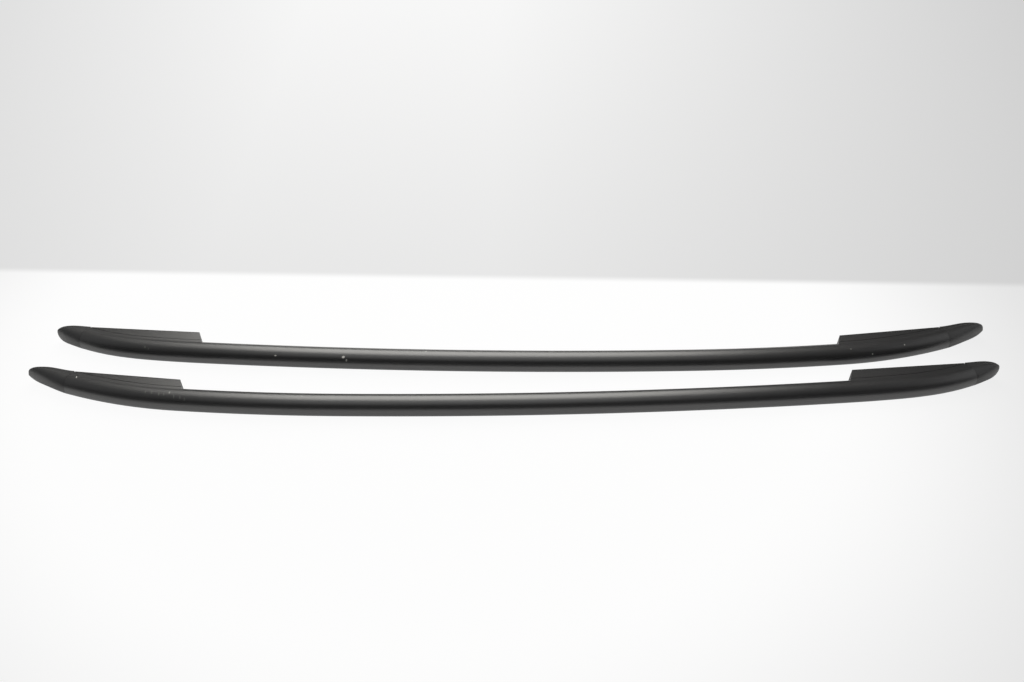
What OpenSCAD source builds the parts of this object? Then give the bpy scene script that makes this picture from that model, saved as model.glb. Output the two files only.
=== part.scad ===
// A pair of black roof side rails, lying on their inboard sides with the feet to the back.
// X runs along the rails, +Y is the side that bolts to the roof and +Z is the outboard side.
// The origin is on the ground under the middle of the pair.

/* [Rail line] */
// Length of each rail from nose to nose
rail_length = 1738; // [1600:2:1900]
// Height of the tube's centre line over the line through the noses, at the crown
bow_height = 87; // [80:0.5:95]
// How far the crown lies ahead of the middle of the rail
crown_ahead = 144; // [100:1:190]
// Radius of the long crown bend
crown_radius = 9650; // [8500:50:11000]
// Distance from the rear nose to the start of the rear bends
rear_bend_start = 275; // [255:1:310]
// Radius of the first bend behind the crown
rear_shoulder_radius = 2360; // [2000:10:2800]
// Turn of the first bend behind the crown, in degrees
rear_shoulder_turn = 2.1; // [1.5:0.1:3]
// Radius of the second bend behind the crown
rear_knuckle_radius = 733; // [600:1:900]
// Turn of the second bend behind the crown, in degrees
rear_knuckle_turn = 4.7; // [3.5:0.1:6]
// Radius of the bend that takes the tube down to the rear nose
rear_nose_radius = 418; // [380:1:480]
// Distance from the front nose to the start of the front bends
front_bend_start = 565; // [535:1:595]
// Radius of the first bend ahead of the crown
front_shoulder_radius = 4060; // [3500:10:4600]
// Turn of the first bend ahead of the crown, in degrees
front_shoulder_turn = 4.05; // [3.5:0.05:4.6]
// Radius of the bend that takes the tube down to the front nose
front_nose_radius = 830; // [760:1:920]

/* [Profile section] */
// Outer diameter of the tube chamber
tube_d = 39; // [37:0.5:42]
// Wall of the tube chamber
tube_wall = 3; // [2:0.1:4]
// Outer width of the web chamber
web_w = 35; // [32:0.5:36]
// Wall of the web chamber
web_wall = 2.5; // [2:0.1:3.5]
// Distance of the styling groove from the tube's centre line
groove_offset = 15; // [13:0.5:17]
// Width of the styling groove
groove_w = 1; // [0.6:0.1:1.6]
// Depth of the styling groove
groove_deep = 0.6; // [0.3:0.1:1]

/* [Feet] */
// Length of the rear foot along the base, from nose to step
rear_foot_length = 272; // [250:1:300]
// Depth of the rear foot below the tube's centre line at the step
rear_foot_depth = 34.5; // [33:0.5:37]
// Tilt of the rear base against the tube at the step, in degrees
rear_base_tilt = 0; // [-0.5:0.1:0.5]
// Length of the front foot along the base, from nose to step
front_foot_length = 283; // [260:1:310]
// Depth of the front foot below the tube's centre line at the step
front_foot_depth = 30.5; // [30:0.5:34]
// Tilt of the front base against the tube at the step, in degrees
front_base_tilt = 1.6; // [1.2:0.1:2]
// Lean of the milled step face, in degrees
step_lean = 27; // [15:1:35]

/* [End caps] */
// Length of the rear end cap
rear_cap_length = 58; // [50:1:70]
// Length of the front end cap
front_cap_length = 84; // [75:1:95]
// How far the lip of both caps stands below the sawn base at the seam
lip_proud = 3.3; // [3.1:0.1:4.5]
// How much further the rear lip comes down towards its nose
rear_lip_drop = 2.6; // [1:0.1:5]
// How much further the front lip comes down towards its nose
front_lip_drop = 6; // [2:0.1:8]
// How far the rear lip curves back up at its nose
rear_nose_lift = 8.3; // [3:0.1:10]
// How far the front lip curves back up at its nose
front_nose_lift = 3; // [0:0.1:5]
// Height of the rear nose over the line of its lip
rear_tip_height = 12.8; // [9:0.1:15]
// Height of the front nose over the line of its lip
front_tip_height = 1.7; // [1:0.1:6]
// Gap of the seam between cap and profile
seam_gap = 0.2; // [0.1:0.05:0.4]
// Radius of the caps' lower edges
cap_edge = 1.5; // [1:0.1:2.5]
// Width of the hollow inside the caps
hollow_w = 24; // [20:1:27]
// Thickness of the ribs across the hollow
rib_thick = 2; // [1.5:0.1:3]
// Length of the spigot that plugs into the tube
spigot_length = 24; // [18:1:30]
// Clearance of the spigot in the tube
spigot_clearance = 0.25; // [0.1:0.05:0.5]

/* [Mounting] */
// Length of the mounting blocks
block_length = 80; // [70:1:84]
// Height of the mounting blocks above the sawn base
block_height = 7.5; // [6.5:0.1:7.8]
// Clearance between the blocks and the web chamber
block_clearance = 0.2; // [0.1:0.05:0.4]
// Distance from the step to the mounting block, along the base
block_from_step = 18; // [15:0.5:20]
// Distance between the two threaded holes of a block
thread_spacing = 48; // [40:1:54]
// Core diameter of the threaded holes
thread_core_d = 5; // [4.2:0.1:6.8]
// Length of the raised pad of the blocks
pad_length = 66; // [62:1:70]
// Width of the raised pad of the blocks
pad_w = 20; // [16:0.5:22]
// Thickness of the foot gaskets
gasket_thick = 3; // [2.5:0.1:3]
// Inset of the gaskets from the edge of the foot
gasket_inset = 1.5; // [1:0.1:3]
// Clearance between the gasket's window and the raised pad
window_clearance = 1; // [0.5:0.1:2]
// Depth of the plugs in the web chamber
plug_length = 12; // [8:0.5:14]
// Clearance of the plugs in the web chamber
plug_clearance = 0.25; // [0.1:0.05:0.4]

/* [Screws] */
// Shank diameter of the countersunk screws
screw_d = 4; // [3.5:0.1:4.5]
// Head diameter of the countersunk screws
screw_head_d = 7.6; // [7:0.1:8]
// Length of the countersunk screws with their heads
screw_length = 11; // [9:0.5:13]
// Distance between the two screws of a block
screw_spacing = 22; // [16:1:28]
// Radial clearance of the screws in their holes
screw_clearance = 0.05; // [0.02:0.01:0.15]
// How deep the heads sit below the surface
screw_sunk = 0.4; // [0.2:0.05:0.5]
// Room left past the tip of each screw
screw_tip_room = 0.5; // [0.3:0.1:1]

/* [Placing] */
// Distance between the lines through the noses of the two rails
rail_spacing = 108; // [95:1:150]
// How far the left rail lies ahead of the right one
rail_stagger = 14; // [0:1:40]

/* [Hidden] */

REAR = 0;
FRONT = 1;
ENDS = [REAR, FRONT];
round_fn = 72;
tube_sides = 32;
small_fn = 36;
arc_error = 0.1;
far = 200;

// How the caps are lofted: their rings, the points round their backs, how near the rings come to the tip
// and gather there, how long the back keeps its direction, where the lip comes down and how the nose rounds
cap_rings = 12;
cap_round_points = 25;
cap_reach = 0.985;
ring_gather = 1.6;
cap_back_pull = 0.15;
drop_start = 0;
drop_end = 0.64;
nose_lift_power = 2.5;
nose_square = 6.7;
nose_round = 0.4;

// The hollow in each cap: the stations it spans, what is left over it and the number of ribs
hollow_first = 1;
hollow_last = 5;
hollow_roof = 7.5;
rib_count = 2;

// Small rooms and overlaps: how far shapes reach past a face or into each other, where the web starts
// before its step, how far plug and spigot stay clear of step and base, and the screws' sockets
bite = 1;
hair = 0.01;
before_step = 5;
plug_setback = 0.5;
spigot_over_base = 1;
spigot_bite_turn = 0.3;
socket_share = 0.6;
socket_sides = 6;

tube_r = tube_d / 2;
bore_r = tube_r - tube_wall;
half_length = rail_length / 2;
crease_offset = sqrt(tube_r * tube_r - web_w * web_w / 4);
block_centre = block_from_step + block_length / 2;

// Values by end, so that one set of modules draws both
foot_length = [rear_foot_length, front_foot_length];
foot_depth = [rear_foot_depth, front_foot_depth];
base_tilt = [rear_base_tilt, front_base_tilt];
cap_length = [rear_cap_length, front_cap_length];
lip_drop = [rear_lip_drop, front_lip_drop];
nose_lift = [rear_nose_lift, front_nose_lift];
tip_height = [rear_tip_height, front_tip_height];
bend_start = [rear_bend_start, front_bend_start];
crown_x = [-crown_ahead, crown_ahead];

// Each end is drawn pointing to +X. A bend is [radius, turn where it starts, turn where it ends, centre],
// and turns are measured from the crown in degrees.
function out(turn) = [sin(turn), -cos(turn)];
function along(turn) = [cos(turn), sin(turn)];
function crown_turn(e) = asin((half_length - bend_start[e] - crown_x[e]) / crown_radius);
function next_centre(bend, radius) = bend[3] + (bend[0] - radius) * out(bend[2]);
function crown_bend(e) = [crown_radius, 0, crown_turn(e), [crown_x[e], crown_radius - bow_height]];
function add_bend(bend, radius, turn) = [radius, bend[2], bend[2] + turn, next_centre(bend, radius)];
function last_bend(bend, radius, x) =
    let (centre = next_centre(bend, radius)) [radius, bend[2], asin((x - centre.x) / radius), centre];
function rear_bends() =
    let (b0 = crown_bend(REAR))
    let (b1 = add_bend(b0, rear_shoulder_radius, rear_shoulder_turn))
    let (b2 = add_bend(b1, rear_knuckle_radius, rear_knuckle_turn))
    let (b3 = last_bend(b2, rear_nose_radius, half_length - rear_cap_length))
    [b0, b1, b2, b3];
function front_bends() =
    let (b0 = crown_bend(FRONT))
    let (b1 = add_bend(b0, front_shoulder_radius, front_shoulder_turn))
    let (b2 = last_bend(b1, front_nose_radius, half_length - front_cap_length))
    [b0, b1, b2];
bends = [rear_bends(), front_bends()];
function nose_bend(e) = bends[e][len(bends[e]) - 1];
function bend_end_x(bend) = bend[3].x + bend[0] * sin(bend[2]);
function bend_at(e, x, i = 0) =
    i == len(bends[e]) - 1 || x < bend_end_x(bends[e][i]) ? bends[e][i] : bend_at(e, x, i + 1);
function turn_at(e, x) = let (b = bend_at(e, x)) asin((x - b[3].x) / b[0]);
function axis_at(e, x) = let (b = bend_at(e, x)) b[3] + b[0] * out(turn_at(e, x));

// The sawn base of each foot, from its corner at the step
function base_corner(e) =
    let (x = half_length - foot_length[e]) [x, axis_at(e, x).y + foot_depth[e]];
function base_turn(e) = turn_at(e, half_length - foot_length[e]) + base_tilt[e];
function lip_corner(e) = base_corner(e) - lip_proud * out(base_turn(e));
function below_lip(e, point) = -(point - lip_corner(e)) * out(base_turn(e));
function lip_tip(e) =
    lip_corner(e) + along(base_turn(e)) * (half_length - lip_corner(e).x) / cos(base_turn(e));

// Distance along the base from the step to the seam, at a depth below the base
function seam_from_step(e, depth) =
    let (turn = nose_bend(e)[2], centre = axis_at(e, half_length - cap_length[e]) - base_corner(e))
    centre * along(base_turn(e)) - (centre * out(base_turn(e)) + depth) * tan(turn - base_turn(e));

// The cap's stations from the seam to the nose: the lip's point, the height over it, the turn of the
// section and the share of its full width
function bezier(p, t) =
    pow(1 - t, 3) * p[0] + 3 * t * pow(1 - t, 2) * p[1] + 3 * t * t * (1 - t) * p[2] + pow(t, 3) * p[3];
function smooth_step(t) = let (u = max(0, min(1, t))) u * u * (3 - 2 * u);
function seam_turn(e) = let (bend = nose_bend(e)) bend[2] + seam_gap / bend[0] * 180 / PI;
function seam_centre(e) = let (bend = nose_bend(e)) bend[3] + bend[0] * out(seam_turn(e));
function lip_below_axis(e) = -below_lip(e, seam_centre(e)) / cos(seam_turn(e) - base_turn(e));
function cap_stations(e) =
    let (start = seam_turn(e), base = base_turn(e), tip = lip_tip(e))
    let (foot = seam_centre(e) - lip_below_axis(e) * out(start), run = norm(tip - foot))
    let (back = seam_centre(e) + tube_r * out(start))
    let (end = tip + nose_lift[e] * out(base))
    let (curve = [back, back + cap_back_pull * run * along(start), tip + tip_height[e] * out(base), end])
    [for (i = [0:cap_rings])
        let (t = cap_reach * (1 - pow(1 - i / cap_rings, ring_gather)), turn = start + (base - start) * t)
        let (top = bezier(curve, t), over_line = -below_lip(e, top) / cos(turn - base))
        let (line = top - over_line * out(turn), along_lip = norm(line - foot) / run)
        let (drop = lip_drop[e] * smooth_step((along_lip - drop_start) / (drop_end - drop_start))
                    - nose_lift[e] * pow(along_lip, nose_lift_power))
        [line - drop * out(turn), over_line + drop, turn, pow(1 - pow(along_lip, nose_square), nose_round)]];

// Where the middle of the pair lies in the frame of a rail
back_y = rail_spacing / 2 + max([for (e = ENDS) for (s = cap_stations(e)) s[0].y]);
front_y = -rail_spacing / 2 - bow_height - tube_r;
middle_y = (back_y + front_y) / 2;

function arc_fn(radius) = ceil(180 / acos(1 - arc_error / radius));

// Placing
module left() {
    translate([rail_stagger / 2, rail_spacing / 2 - middle_y, 0]) children();
}
module right() {
    translate([-rail_stagger / 2, -rail_spacing / 2 - middle_y, 0]) mirror([1, 0, 0]) children();
}
module at_end(e) {
    mirror([e == REAR ? 1 : 0, 0, 0]) children();
}
// Origin at the step's corner of the base, X along the base to the nose, +Y out of the rail
module on_base(e) {
    corner = base_corner(e);
    translate([corner.x, corner.y, 0]) rotate([0, 0, base_turn(e)]) children();
}

// Sweeping a section, drawn with +X away from the roof, along bends
module swept(bend, from, to) {
    translate([bend[3].x, bend[3].y, tube_r]) rotate([0, 0, from - 90])
        rotate_extrude(angle = to - from, $fn = arc_fn(bend[0])) translate([bend[0], 0]) children();
}

// Stations along the bends of one end, from the crown to the seam: a point on the tube's centre line
// and the direction away from the roof
function bend_steps(bend) =
    ceil((bend[2] - bend[1]) * PI / 180 * bend[0] / sqrt(8 * bend[0] * arc_error));
function bend_stations(bend, from, to) =
    let (n = bend_steps([bend[0], from, to]))
    [for (i = [1:n]) let (turn = from + (to - from) * i / n) [bend[3] + bend[0] * out(turn), out(turn)]];
function end_stations(e) = [for (bend = bends[e]) each bend_stations(bend, bend[1], bend[2])];
function flip(station) = [[-station[0].x, station[0].y], [-station[1].x, station[1].y]];
function rail_stations() =
    let (rear = end_stations(REAR), front = end_stations(FRONT))
    concat([for (i = [len(rear) - 1:-1:0]) flip(rear[i])], [[[crown_ahead, -bow_height], [0, -1]]], front);

// A closed tube through the stations, with the outline repeated at the bore's size for its inside
module swept_tube(stations) {
    n = tube_sides;
    rings = [for (s = stations) for (r = [tube_r, bore_r]) for (j = [0:n - 1])
        let (a = 360 * j / n, p = s[0] + r * cos(a) * s[1]) [p.x, p.y, tube_r + r * sin(a)]];
    last = len(stations) - 1;
    walls = [for (i = [0:last - 1], j = [0:n - 1])
        let (k = (j + 1) % n, a = 2 * n * i, b = 2 * n * (i + 1))
        each [[a + j, b + k, b + j], [a + j, a + k, b + k],
              [a + n + j, b + n + j, b + n + k], [a + n + j, b + n + k, a + n + k]]];
    ends = [for (j = [0:n - 1])
        let (k = (j + 1) % n, b = 2 * n * last)
        each [[j, n + j, n + k, k], [b + j, b + k, b + n + k, b + n + j]]];
    polyhedron(rings, concat(walls, ends));
}

// A line at a set distance from the tube's centre line, from before the step to the seam
function web_start(e) = base_corner(e).x - foot_depth[e] * tan(step_lean) - before_step;
function foot_line(e, offset) =
    let (start = web_start(e))
    [for (bend = bends[e])
        let (from = start > bend_end_x(bend) ? bend[2] : max(bend[1], asin((start - bend[3].x) / bend[0])))
        if (bend[2] > from) each [for (s = bend_stations(bend, from, bend[2])) s[0] - offset * s[1]]];

// The web's side walls run from inside the tube's wall down to the sawn base
module web_wall_of_foot(e) {
    inside_wall = (crease_offset + sqrt(bore_r * bore_r - pow(web_w / 2 - web_wall, 2))) / 2;
    top = foot_line(e, inside_wall);
    n = len(top) - 1;
    down = -far / 2 * out(nose_bend(e)[2]);
    back = [0, far / 2];
    linear_extrude(web_wall) polygon(concat(top, [top[n] + down, top[0] + back]));
}
module groove(e) {
    line = foot_line(e, groove_offset);
    n = len(line);
    edge = [for (i = [0:n - 1])
        let (d = line[min(i + 1, n - 1)] - line[max(i - 1, 0)], side = [-d.y, d.x] / norm(d) * groove_w / 2)
        each [[line[i].x - side.x, line[i].y - side.y, 0], [line[i].x, line[i].y, -groove_deep],
              [line[i].x + side.x, line[i].y + side.y, 0]]];
    above = [for (p = edge) [p.x, p.y, p.z == 0 ? bite : p.z]];
    faces = [for (i = [0:n - 2], j = [0:2])
        let (k = (j + 1) % 3, a = 3 * i) each [[a + j, a + 3 + k, a + 3 + j], [a + j, a + k, a + 3 + k]]];
    polyhedron(above, concat(faces, [[2, 1, 0], [3 * n - 3, 3 * n - 2, 3 * n - 1]]));
}
module web_of_foot(e) {
    difference() {
        for (z = [tube_r - web_w / 2, tube_r + web_w / 2 - web_wall])
            translate([0, 0, z]) web_wall_of_foot(e);
        past_step(e);
        translate([0, 0, tube_r + web_w / 2]) groove(e);
        translate([0, 0, tube_r - web_w / 2]) mirror([0, 0, 1]) groove(e);
    }
}

// Everything below the sawn base, and everything past the step
module below_base(e, reach = 0) {
    on_base(e) translate([-far / 4, reach, -far / 4]) cube([2 * far, far, far]);
}
module past_step(e, setback = 0) {
    on_base(e) rotate([0, 0, -step_lean])
        translate([setback - far, -far / 2, -far / 4]) cube([far, far, far]);
}

// Screws, drawn at their head's face with the shank along +Z
module screw_hole() {
    head_h = (screw_head_d - screw_d) / 2;
    head = screw_head_d / 2 + screw_clearance;
    shank = screw_d / 2 + screw_clearance;
    depth = screw_length + screw_tip_room;
    above = far / 10;
    rotate_extrude($fn = small_fn)
        polygon([[0, -above], [head, -above], [head, 0], [shank, head_h], [shank, depth], [0, depth]]);
}
module screw() {
    head_h = (screw_head_d - screw_d) / 2;
    difference() {
        union() {
            cylinder(d1 = screw_head_d, d2 = screw_d, h = head_h, $fn = small_fn);
            cylinder(d = screw_d, h = screw_length, $fn = small_fn);
        }
        translate([0, 0, -hair]) cylinder(d = screw_d * socket_share, h = head_h, $fn = socket_sides);
    }
}
module at_block_screws(e) {
    depth = tube_r - web_w / 2 + screw_sunk;
    on_base(e) for (side = [-1, 1])
        translate([block_centre + side * screw_spacing / 2, -block_height / 2, depth]) children();
}
module at_cap_screw(e) {
    bend = nose_bend(e);
    turn = bend[2] - spigot_length / 2 / bend[0] * 180 / PI;
    centre = bend[3] + bend[0] * out(turn);
    translate([centre.x, centre.y, screw_sunk]) children();
}

module rail_profile() {
    color("#1b1b1c") difference() {
        union() {
            swept_tube(rail_stations());
            for (e = ENDS) at_end(e) web_of_foot(e);
        }
        for (e = ENDS) at_end(e) {
            below_base(e);
            at_block_screws(e) screw_hole();
            at_cap_screw(e) screw_hole();
        }
    }
}

// The cap is a loft from the section at the seam to the tip. Its section is the tube's round back,
// the web's straight sides and a flat lip with rounded edges.
function cap_section(c) =
    let (h = min(crease_offset, c - 2 * cap_edge), half = sqrt(tube_r * tube_r - h * h))
    let (start = -asin(h / tube_r), pitch = (180 - 2 * start) / (cap_round_points - 1))
    concat(
        [for (i = [0:cap_round_points - 1]) tube_r * along(start + pitch * i)],
        [[-half, cap_edge - c], [cap_edge - half, -c], [half - cap_edge, -c], [half, cap_edge - c]]);
module cap_loft(e) {
    stations = cap_stations(e);
    c = lip_below_axis(e);
    section = cap_section(c);
    n = len(section);
    points = [for (s = stations) for (p = section)
        let (q = s[0] + s[1] * (p.y + c) / (tube_r + c) * out(s[2])) [q.x, q.y, tube_r + s[3] * p.x]];
    sides = [for (i = [0:cap_rings - 1], j = [0:n - 1])
        let (a = i * n + j, b = i * n + (j + 1) % n) each [[a, b + n, b], [a, a + n, b + n]]];
    first = [for (j = [0:n - 1]) j];
    last = [for (j = [n - 1:-1:0]) cap_rings * n + j];
    polyhedron(points, concat(sides, [first, last]));
}
// The nose is hollow and open at its lip, with ribs across
module cap_hollow(e) {
    stations = cap_stations(e);
    roof = [for (i = [hollow_first:hollow_last])
        let (s = stations[i]) s[0] + (s[1] - hollow_roof) * out(s[2])];
    mouth = [for (i = [hollow_last, hollow_first]) stations[i][0] - far / 10 * out(stations[i][2])];
    length = roof[len(roof) - 1].x - roof[0].x;
    difference() {
        translate([0, 0, tube_r - hollow_w / 2]) linear_extrude(hollow_w) polygon(concat(roof, mouth));
        for (i = [1:rib_count])
            translate([roof[0].x + length * i / (rib_count + 1) - rib_thick / 2, -far, 0])
                cube([rib_thick, 2 * far, tube_d]);
    }
}
module spigot(e) {
    bend = nose_bend(e);
    length_turn = spigot_length / bend[0] * 180 / PI;
    difference() {
        swept(bend, bend[2] - length_turn, seam_turn(e) + spigot_bite_turn)
            circle(r = bore_r - spigot_clearance, $fn = round_fn);
        below_base(e, -spigot_over_base);
    }
}
module end_cap(e) {
    color("#232325") at_end(e) difference() {
        union() {
            cap_loft(e);
            spigot(e);
        }
        at_cap_screw(e) screw_hole();
        cap_hollow(e);
    }
}

module foot_gasket(e) {
    start = gasket_inset;
    length = seam_from_step(e, gasket_thick) - 2 * gasket_inset;
    wide = web_w - 2 * gasket_inset;
    window_l = pad_length + 2 * window_clearance;
    window_w = pad_w + 2 * window_clearance;
    color("#141414") at_end(e) on_base(e) rotate([-90, 0, 0]) translate([0, -tube_r, 0])
        linear_extrude(gasket_thick) difference() {
            translate([start, -wide / 2]) square([length, wide]);
            translate([block_centre - window_l / 2, -window_w / 2]) square([window_l, window_w]);
        }
}

module mounting_block(e) {
    inner_w = web_w - 2 * web_wall - 2 * block_clearance;
    drill = block_height + gasket_thick + 2 * bite;
    color("#8d9094") at_end(e) difference() {
        on_base(e) difference() {
            union() {
                translate([block_from_step, -block_height, tube_r - inner_w / 2])
                    cube([block_length, block_height, inner_w]);
                translate([block_centre - pad_length / 2, -bite, tube_r - pad_w / 2])
                    cube([pad_length, gasket_thick + bite, pad_w]);
            }
            for (side = [-1, 1])
                translate([block_centre + side * thread_spacing / 2, gasket_thick + bite, tube_r])
                    rotate([90, 0, 0]) cylinder(d = thread_core_d, h = drill, $fn = small_fn);
        }
        at_block_screws(e) screw_hole();
    }
}

module web_plug(e) {
    inner_w = web_w - 2 * web_wall - 2 * plug_clearance;
    middle = base_corner(e).x;
    turn = turn_at(e, middle);
    centre = axis_at(e, middle);
    color("#202021") at_end(e) difference() {
        translate([centre.x, centre.y, tube_r]) rotate([0, 0, turn]) rotate([90, 0, 90])
            translate([0, 0, -foot_depth[e]]) linear_extrude(foot_depth[e] + plug_length) difference() {
                translate([0, -inner_w / 2]) square([2 * foot_depth[e], inner_w]);
                circle(r = tube_r + plug_clearance, $fn = round_fn);
            }
        below_base(e);
        past_step(e, plug_setback);
    }
}

module block_screws() {
    color("#b9b9b5") for (e = ENDS) at_end(e) at_block_screws(e) screw();
}
module cap_screws() {
    color("#b9b9b5") for (e = ENDS) at_end(e) at_cap_screw(e) screw();
}

left() rail_profile();  // left_rail_profile
left() end_cap(FRONT);  // left_front_cap
left() end_cap(REAR);  // left_rear_cap
left() foot_gasket(FRONT);  // left_front_gasket
left() foot_gasket(REAR);  // left_rear_gasket
left() mounting_block(FRONT);  // left_front_block
left() mounting_block(REAR);  // left_rear_block
left() web_plug(FRONT);  // left_front_plug
left() web_plug(REAR);  // left_rear_plug
left() block_screws();  // left_block_screws
left() cap_screws();  // left_cap_screws
right() rail_profile();  // right_rail_profile
right() end_cap(FRONT);  // right_front_cap
right() end_cap(REAR);  // right_rear_cap
right() foot_gasket(FRONT);  // right_front_gasket
right() foot_gasket(REAR);  // right_rear_gasket
right() mounting_block(FRONT);  // right_front_block
right() mounting_block(REAR);  // right_rear_block
right() web_plug(FRONT);  // right_front_plug
right() web_plug(REAR);  // right_rear_plug
right() block_screws();  // right_block_screws
right() cap_screws();  // right_cap_screws
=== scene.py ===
"""A pair of black roof side rails, laid out as a Blender add-on and run as a script.

Each rail is one stretch-bent aluminium tube with a milled web under each end, closed by moulded
noses. Everything is in metres, in the frame of the CAD model, and lies on its inboard side.
"""
import math
from collections import namedtuple

import bmesh
import bpy
from mathutils import Matrix, Vector


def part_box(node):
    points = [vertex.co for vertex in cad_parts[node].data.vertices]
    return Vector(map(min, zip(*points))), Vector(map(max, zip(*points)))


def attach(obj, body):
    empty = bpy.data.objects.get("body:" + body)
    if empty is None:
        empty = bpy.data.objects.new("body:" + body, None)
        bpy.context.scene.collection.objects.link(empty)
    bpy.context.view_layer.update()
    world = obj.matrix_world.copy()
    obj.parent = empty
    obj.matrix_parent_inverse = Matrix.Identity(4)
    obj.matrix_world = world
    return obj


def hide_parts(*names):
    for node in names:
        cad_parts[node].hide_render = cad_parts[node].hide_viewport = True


bl_info = {
    "name": "Roof side rails",
    "version": (1, 0, 0),
    "blender": (4, 5, 0),
    "location": "3D View > Sidebar > Rails",
    "description": "Dresses the CAD model of a pair of roof side rails",
    "category": "Object",
}

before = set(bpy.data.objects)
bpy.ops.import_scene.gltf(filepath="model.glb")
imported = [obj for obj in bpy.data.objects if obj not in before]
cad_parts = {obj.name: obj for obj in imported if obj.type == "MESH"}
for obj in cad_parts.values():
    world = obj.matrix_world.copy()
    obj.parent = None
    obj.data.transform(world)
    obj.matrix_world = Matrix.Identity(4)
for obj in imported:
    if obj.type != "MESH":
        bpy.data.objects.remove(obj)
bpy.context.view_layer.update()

MM = 0.001
SIDES = ("left", "right")
ENDS = ("rear", "front")
UP = Vector((0, 0, 1))

# Where the camera stands, how it is turned in degrees, and its lens, as found from the photograph
CAMERA_PLACE = (-0.01998, -1.17874, 1.16035)
CAMERA_DOWN, CAMERA_ASIDE = 42.265, -0.3885
PHOTO_WIDTH, FOCAL_PIXELS, SENSOR_WIDTH = 1024, 911, 36

# How finely round shapes are drawn
TUBE_SIDES, SPIGOT_SIDES, SCREW_SIDES = 64, 48, 36
CAP_BACK_STEPS, CAP_RINGS = 48, 40

# Points nearer than this, in metres, are one, and turns this alike, in radians, are the same
WELD, FINE_WELD, SAME_TURN = 1e-6, 1e-7, 1e-9

# How far a tool runs past what it cuts, and a hole past the end of its screw
TOOL_SPARE, HOLE_SPARE = 20 * MM, 0.5 * MM
# How far a web runs past its step before it is milled, how far its root reaches round inside the
# tube's wall, and the turn by which a spigot runs on into its cap, in radians
WEB_SPARE, ROOT_TURN, SPIGOT_BITE = 5 * MM, math.radians(9), 0.001
# The caps' pockets: the number of rooms, and the first and last station that they span
ROOMS, POCKET_RINGS, POCKET_FIRST, POCKET_LAST = 3, 12, 1, 5


def millimetres(name, description, value):
    """A length, given in millimetres and kept in metres."""
    return bpy.props.FloatProperty(
        name=name, description=description, default=value * MM, unit="LENGTH", precision=4)


def degrees(name, description, value):
    """An angle, given in degrees."""
    return bpy.props.FloatProperty(
        name=name, description=description, default=math.radians(value), subtype="ANGLE")


def share(name, description, value):
    """A plain number without a unit."""
    return bpy.props.FloatProperty(name=name, description=description, default=value)


def colour(name, description, value):
    """An sRGB colour, given as a hex value and kept linear."""
    return bpy.props.FloatVectorProperty(
        name=name, description=description, default=linear(value)[:3], subtype="COLOR", size=3,
        min=0, max=1)


def linear(hex_value):
    """An sRGB hex value as a linear colour with alpha."""
    parts = [int(hex_value[i:i + 2], 16) / 255 for i in (1, 3, 5)]
    return tuple(p / 12.92 if p <= 0.04045 else ((p + 0.055) / 1.055) ** 2.4 for p in parts) + (1,)


class RailLine(bpy.types.PropertyGroup):
    """How the rail runs from nose to nose."""

    rail_length: millimetres("Length", "Length of each rail from nose to nose", 1738)
    bow_height: millimetres("Bow", "Height of the tube's centre line at the crown", 87)
    crown_ahead: millimetres("Crown ahead", "How far the crown lies ahead of the middle", 144)
    crown_radius: millimetres("Crown radius", "Radius of the long crown bend", 9650)
    rear_bend_start: millimetres("Rear bends", "From the rear nose to the rear bends", 275)
    rear_shoulder_radius: millimetres("Rear shoulder", "Radius of the first rear bend", 2360)
    rear_shoulder_turn: degrees("Rear shoulder turn", "Turn of the first rear bend", 2.1)
    rear_knuckle_radius: millimetres("Rear knuckle", "Radius of the second rear bend", 733)
    rear_knuckle_turn: degrees("Rear knuckle turn", "Turn of the second rear bend", 4.7)
    rear_nose_radius: millimetres("Rear nose bend", "Radius of the bend into the rear nose", 418)
    front_bend_start: millimetres("Front bends", "From the front nose to the front bends", 565)
    front_shoulder_radius: millimetres("Front shoulder", "Radius of the first front bend", 4060)
    front_shoulder_turn: degrees("Front shoulder turn", "Turn of the first front bend", 4.05)
    front_nose_radius: millimetres("Front nose bend", "Radius of the bend into the front nose", 830)
    rail_stagger: millimetres("Stagger", "How far the left rail lies ahead of the right one", 14)


class RailProfile(bpy.types.PropertyGroup):
    """The extruded section and how finely it is drawn."""

    tube_d: millimetres("Tube diameter", "Outer diameter of the tube chamber", 39)
    tube_wall: millimetres("Tube wall", "Wall of the tube chamber", 3)
    web_w: millimetres("Web width", "Outer width of the web chamber", 35)
    web_wall: millimetres("Web wall", "Wall of the web chamber", 2.5)
    groove_offset: millimetres("Groove offset", "From the tube's centre line to the groove", 15)
    groove_w: millimetres("Groove width", "Width of the styling groove", 1)
    groove_deep: millimetres("Groove depth", "Depth of the styling groove", 0.6)
    crease_fillet: millimetres("Crease fillet", "Setback of the fillet between tube and web", 2.5)
    seam_edge: millimetres("Seam edge", "Radius of the edges on both sides of a seam", 0.08)
    ring_pitch: millimetres("Ring pitch", "Distance of the mesh rings along the rail", 9)


class RailFeet(bpy.types.PropertyGroup):
    """The milled feet."""

    rear_foot_length: millimetres("Rear foot", "Length of the rear foot from nose to step", 272)
    rear_foot_depth: millimetres("Rear depth", "Depth of the rear foot at its step", 34.5)
    rear_base_tilt: degrees("Rear tilt", "Tilt of the rear base against the tube", 0)
    front_foot_length: millimetres("Front foot", "Length of the front foot from nose to step", 283)
    front_foot_depth: millimetres("Front depth", "Depth of the front foot at its step", 30.5)
    front_base_tilt: degrees("Front tilt", "Tilt of the front base against the tube", 1.6)
    step_lean: degrees("Step lean", "Lean of the milled step face", 27)


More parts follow.
